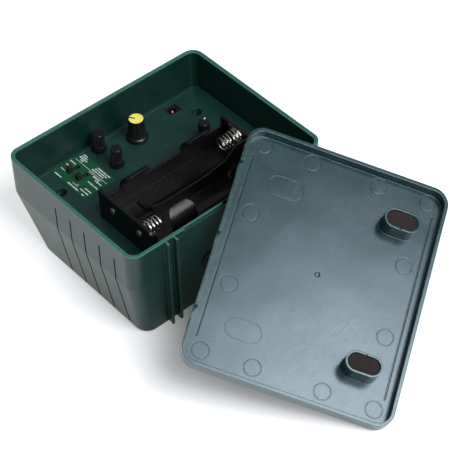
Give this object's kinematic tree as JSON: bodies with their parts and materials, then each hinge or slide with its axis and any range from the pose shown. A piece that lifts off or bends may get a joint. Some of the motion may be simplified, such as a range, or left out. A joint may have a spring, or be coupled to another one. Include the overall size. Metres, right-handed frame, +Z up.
{
  "type": "irrigation controller",
  "caption": "Battery irrigation controller: open tapered case with control deck, cell holder, knobs and switches, and its cover leaning on the rim.",
  "frame": {"origin": "on the ground under the centre of the case's rim, on the flat base face", "axes": "+X along the rim's long side, +Y from the railed front wall to the tapered back wall, +Z up"},
  "size_m": [0.2102, 0.2968, 0.0998],
  "materials": {
    "green_plastic": "injection moulded, satin",
    "black_plastic": "moulded, semi-gloss",
    "knob_black": "moulded, satin",
    "lever_black": "moulded",
    "cap_yellow": "moulded",
    "pointer_white": "moulded",
    "label_green": "printed film",
    "screw_steel": "zinc plated",
    "spring_steel": "nickel plated",
    "rivet_brass": "plated",
    "red_lead": "insulated wire",
    "black_lead": "insulated wire",
    "board_green": "solder mask",
    "chip_black": "moulded",
    "relay_blue": "moulded",
    "capacitor_sleeve": "sleeved",
    "connector_white": "moulded",
    "jack_brown": "moulded",
    "pot_grey": "moulded",
    "shaft_white": "moulded",
    "switch_tin": "tinned",
    "foam_black": "open-cell foam"
  },
  "bodies": {
    "case": {"case_shell": "green_plastic", "control_deck": "green_plastic", "deck_screws": "screw_steel", "holder_screws": "screw_steel", "board_screws": "screw_steel", "valve_socket_nut": "screw_steel", "control_label": "label_green", "battery_holder": "black_plastic", "cell_spring_back": "spring_steel", "cell_spring_front": "spring_steel", "cell_contact_back": "spring_steel", "cell_contact_front": "spring_steel", "contact_rivets": "rivet_brass", "series_link": "spring_steel", "power_lead_red": "red_lead", "power_lead_black": "black_lead", "circuit_board": "board_green", "controller_chip": "chip_black", "valve_relay": "relay_blue", "filter_capacitors": "capacitor_sleeve", "battery_connector": "connector_white", "valve_connector": "connector_white", "dc_jack_body": "jack_brown", "dc_jack_pin": "spring_steel", "pot_body_main": "pot_grey", "pot_body_left_back": "pot_grey", "pot_body_left_front": "pot_grey", "pot_body_right": "pot_grey", "switch_body_back": "switch_tin", "switch_body_front": "switch_tin", "valve_socket": "black_plastic"},
    "main_knob_body": {"main_knob": "knob_black", "main_knob_cap": "cap_yellow", "pot_shaft_main": "spring_steel"},
    "left_back_knob_body": {"knob_left_back": "knob_black", "pointer_left_back": "pointer_white", "pot_shaft_left_back": "shaft_white"},
    "left_front_knob_body": {"knob_left_front": "knob_black", "pointer_left_front": "pointer_white", "pot_shaft_left_front": "shaft_white"},
    "right_knob_body": {"knob_right": "knob_black", "pointer_right": "pointer_white", "pot_shaft_right": "shaft_white"},
    "back_lever_body": {"switch_lever_back": "lever_black"},
    "front_lever_body": {"switch_lever_front": "lever_black"},
    "lid_body": {"lid": "green_plastic", "lid_pad_left": "foam_black", "lid_pad_right": "foam_black"}
  },
  "joints": [
    {"name": "main_knob_turn", "type": "hinge", "parent": "case", "child": "main_knob_body", "pos_m": [0.0122, 0.0468, 0.0444], "axis": [0, 0, 1], "range_deg": [-174, 106]},
    {"name": "left_back_knob_turn", "type": "hinge", "parent": "case", "child": "left_back_knob_body", "pos_m": [-0.0148, 0.0552, 0.0444], "axis": [0, 0, 1], "range_deg": [-112, 168]},
    {"name": "left_front_knob_turn", "type": "hinge", "parent": "case", "child": "left_front_knob_body", "pos_m": [-0.0152, 0.0351, 0.0444], "axis": [0, 0, 1], "range_deg": [-112, 168]},
    {"name": "right_knob_turn", "type": "hinge", "parent": "case", "child": "right_knob_body", "pos_m": [0.046, 0.0145, 0.0444], "axis": [0, 0, 1], "range_deg": [-89, 191]},
    {"name": "back_switch_slide", "type": "slide", "parent": "case", "child": "back_lever_body", "axis": [1, 0, 0], "range_m": [0, 0.0056]},
    {"name": "front_switch_slide", "type": "slide", "parent": "case", "child": "front_lever_body", "axis": [1, 0, 0], "range_m": [0, 0.0056]},
    {"name": "lid_lift", "type": "slide", "parent": "case", "child": "lid_body", "axis": [-0.0871, -0.4238, 0.9016], "range_m": [0, 0.12]}
  ]
}
